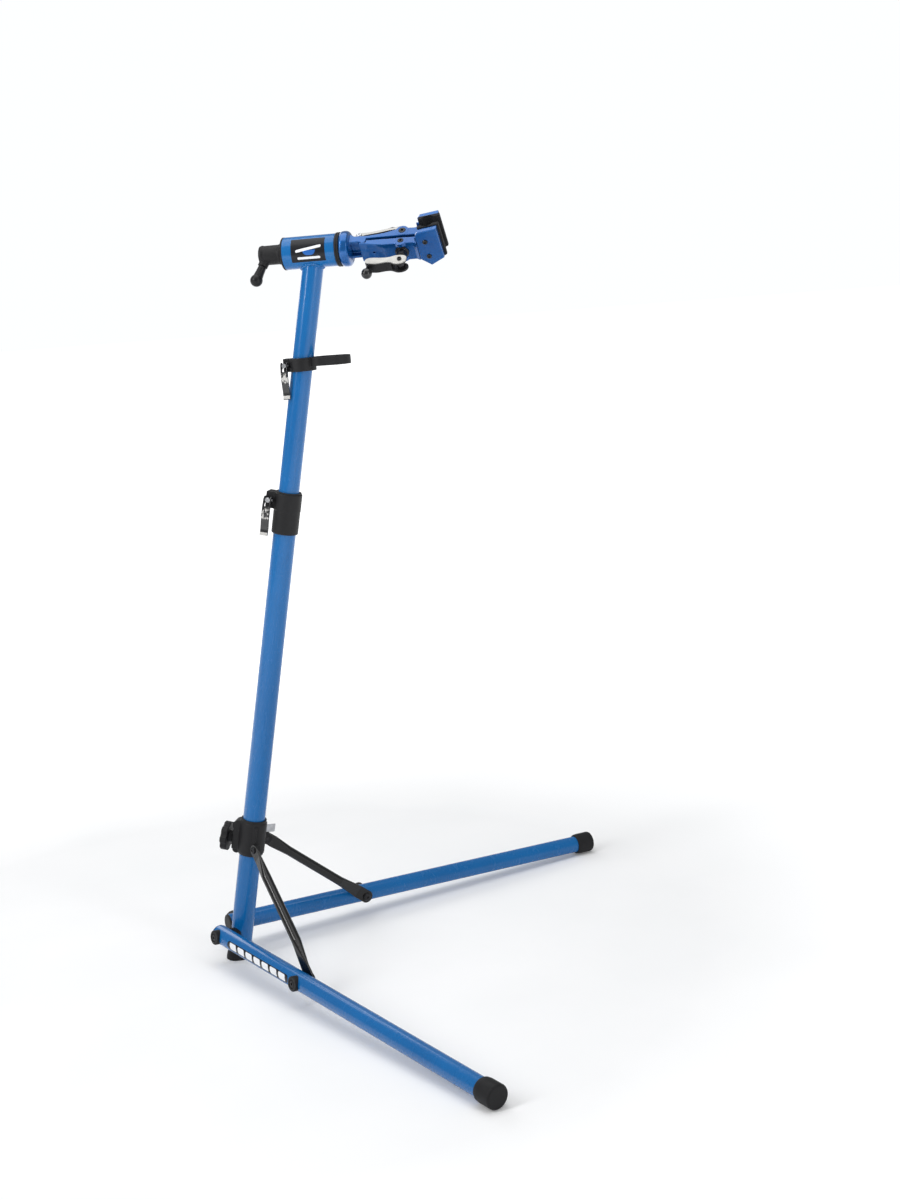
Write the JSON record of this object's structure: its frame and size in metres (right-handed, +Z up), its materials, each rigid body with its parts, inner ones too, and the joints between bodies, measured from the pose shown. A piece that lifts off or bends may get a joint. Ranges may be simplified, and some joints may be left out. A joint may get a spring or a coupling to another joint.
{
  "type": "bicycle repair stand",
  "caption": "Folding bicycle repair stand: leaning telescopic upright on swing-out braced legs, with a rotating cam clamp head for a frame tube or seat post.",
  "frame": {"origin": "floor point under the foot, where the axis of the leaning upright meets the floor", "axes": "+Z up; +X forward, the way the upright leans and the clamp points, halfway between the legs; +Y toward the far leg"},
  "size_m": [0.6711, 1.2188, 1.3908],
  "materials": {
    "blue_paint": "gloss blue paint",
    "blue_metallic": "gloss metallic blue paint",
    "black_gloss_tube": "gloss black paint",
    "black_satin": "satin moulded black plastic",
    "dark_plastic": "plain dark moulded plastic",
    "rubber_black": "matte rubber",
    "pad_rubber": "matte soft jaw rubber",
    "grip_black": "fine textured moulded plastic",
    "ball_black": "polished moulded plastic",
    "black_screw": "black oxide steel",
    "bright_steel": "zinc plated steel",
    "grey_zinc": "dull grey plate",
    "silver_paint": "satin silver paint",
    "white_label": "printed film",
    "black_label": "printed film"
  },
  "bodies": {
    "base": {"lower_tube": "blue_paint", "pivot_block": "dark_plastic", "base_foot": "rubber_black", "leg_pivot_bolts": "black_screw", "leg_spacers": "black_satin", "height_collar": "black_satin", "collar_shim": "dark_plastic", "height_clamp_bolt": "bright_steel"},
    "near_leg": {"near_leg_tube": "blue_paint", "near_leg_cap": "rubber_black", "near_leg_plug": "black_satin", "near_leg_saddles": "black_satin", "near_brace_bolt": "black_screw", "near_leg_label": "white_label"},
    "far_leg": {"far_leg_tube": "blue_paint", "far_leg_cap": "rubber_black", "far_leg_plug": "black_satin", "far_leg_saddles": "black_satin", "far_brace_bolt": "black_screw"},
    "brace_slider": {"brace_collar": "black_satin", "brace_pins": "black_screw", "ear_plate": "grey_zinc"},
    "slider_knob": {"collar_knob": "black_satin"},
    "near_strut": {"near_brace": "black_gloss_tube", "near_brace_stud": "black_screw"},
    "far_strut": {"far_brace": "black_gloss_tube", "far_brace_stud": "black_screw"},
    "height_cam": {"height_lever": "black_satin"},
    "mast_slider": {"slide_bush": "dark_plastic"},
    "mast": {"upper_tube": "blue_paint", "head_tube": "blue_paint", "rear_head_bush": "black_satin", "front_head_bush": "black_satin", "head_label": "black_label"},
    "accessory": {"accessory_band": "black_satin", "accessory_bolt": "bright_steel"},
    "accessory_cam": {"accessory_lever": "black_satin"},
    "clamp": {"clamp_shaft": "bright_steel", "clamp_body": "blue_metallic", "jaw_pivot_pin": "black_screw", "fixed_jaw": "blue_metallic", "fixed_jaw_pad": "pad_rubber", "fixed_jaw_screws": "black_screw", "fixed_grip": "grip_black", "fixed_grip_plate": "silver_paint", "fixed_grip_bolt": "bright_steel"},
    "lock": {"lock_knob": "black_satin", "lock_lever": "grip_black"},
    "jaw_arm": {"moving_arm": "blue_metallic", "moving_jaw": "blue_metallic", "moving_jaw_pad": "pad_rubber", "moving_jaw_screws": "black_screw", "moving_trunnion_pins": "black_screw"},
    "trunnion": {"fixed_trunnion": "black_screw"},
    "screw": {"clamp_screw": "bright_steel"},
    "hub": {"cam_hub": "black_screw", "cam_pin": "black_screw"},
    "cam_flip": {"cam_lever_plate": "silver_paint", "cam_lever_grip": "grip_black"},
    "spinner": {"ball_knob": "ball_black"}
  },
  "joints": [
    {"name": "near_leg_fold", "type": "hinge", "parent": "base", "child": "near_leg", "pos_m": [-0.01302, -0.03759, 0.05746], "axis": [-0.6494, -0.7478, 0.138], "range_deg": [0, 78.43]},
    {"name": "far_leg_fold", "type": "hinge", "parent": "base", "child": "far_leg", "pos_m": [-0.01302, 0.03759, 0.05746], "axis": [0.6494, -0.7478, -0.138], "range_deg": [0, 78.44]},
    {"name": "brace_collar_slide", "type": "slide", "parent": "base", "child": "brace_slider", "axis": [0.2079, 0, 0.9781], "range_m": [0, 0.38345]},
    {"name": "near_brace_swing", "type": "hinge", "parent": "brace_slider", "child": "near_strut", "pos_m": [0.07769, -0.02523, 0.22885], "axis": [0.6494, 0.7478, -0.138], "range_deg": [0, 59.36]},
    {"name": "far_brace_swing", "type": "hinge", "parent": "brace_slider", "child": "far_strut", "pos_m": [0.07769, 0.02523, 0.22885], "axis": [-0.6494, 0.7478, 0.138], "range_deg": [0, 59.36]},
    {"name": "collar_knob_turn", "type": "hinge", "parent": "brace_slider", "child": "slider_knob", "pos_m": [0.05073, 0, 0.23867], "axis": [-0.9781, 0, 0.2079], "continuous": true},
    {"name": "height_lever_open", "type": "hinge", "parent": "base", "child": "height_cam", "pos_m": [0.15873, -0.021, 0.90068], "axis": [-0.9781, 0, 0.2079], "range_deg": [0, 150]},
    {"name": "mast_height", "type": "slide", "parent": "base", "child": "mast_slider", "axis": [0.2079, 0, 0.9781], "range_m": [-0.15, 0.13]},
    {"name": "mast_swivel", "type": "hinge", "parent": "mast_slider", "child": "mast", "pos_m": [0.14138, 0, 0.66514], "axis": [0.2079, 0, 0.9781], "continuous": true},
    {"name": "accessory_height", "type": "slide", "parent": "mast", "child": "accessory", "axis": [0.2079, 0, 0.9781], "range_m": [0, 0.12]},
    {"name": "accessory_lever_open", "type": "hinge", "parent": "accessory", "child": "accessory_cam", "pos_m": [0.21303, -0.016, 1.141], "axis": [-1, 0, 0], "range_deg": [0, 120]},
    {"name": "clamp_turn", "type": "hinge", "parent": "mast", "child": "clamp", "pos_m": [0.28442, 0, 1.33811], "axis": [1, 0, 0], "continuous": true},
    {"name": "lock_knob_turn", "type": "hinge", "parent": "clamp", "child": "lock", "pos_m": [0.20442, 0, 1.33811], "axis": [1, 0, 0], "continuous": true},
    {"name": "jaw_open", "type": "hinge", "parent": "clamp", "child": "jaw_arm", "pos_m": [0.37742, -0.0026, 1.33577], "axis": [0, 0.6691, -0.7431], "range_deg": [-3, 19]},
    {"name": "trunnion_tilt", "type": "hinge", "parent": "clamp", "child": "trunnion", "pos_m": [0.44742, 0.0104, 1.34748], "axis": [0, 0.6691, -0.7431], "range_deg": [-1.25, 7.8]},
    {"name": "screw_travel", "type": "slide", "parent": "trunnion", "child": "screw", "axis": [0, -0.7431, -0.6691], "range_m": [-0.0038, 0.023]},
    {"name": "hub_wind", "type": "hinge", "parent": "jaw_arm", "child": "hub", "pos_m": [0.44742, -0.02229, 1.31804], "axis": [0, -0.7431, -0.6691], "continuous": true},
    {"name": "cam_lever_flip", "type": "hinge", "parent": "hub", "child": "cam_flip", "pos_m": [0.44742, -0.03641, 1.30532], "axis": [0, -0.6691, 0.7431], "range_deg": [0, 95]},
    {"name": "ball_knob_spin", "type": "hinge", "parent": "cam_flip", "child": "spinner", "pos_m": [0.38842, -0.04392, 1.29722], "axis": [0, -0.7431, -0.6691], "continuous": true}
  ],
  "couplings": [
    {"joint": "far_leg_fold", "follows": "near_leg_fold", "ratio": 1},
    {"joint": "brace_collar_slide", "follows": "near_leg_fold", "m_per_rad": 0.28008},
    {"joint": "near_brace_swing", "follows": "near_leg_fold", "ratio": 0.75661},
    {"joint": "far_brace_swing", "follows": "near_leg_fold", "ratio": 0.75661},
    {"joint": "trunnion_tilt", "follows": "jaw_open", "ratio": 0.40816},
    {"joint": "screw_travel", "follows": "jaw_open", "m_per_rad": 0.06866}
  ]
}
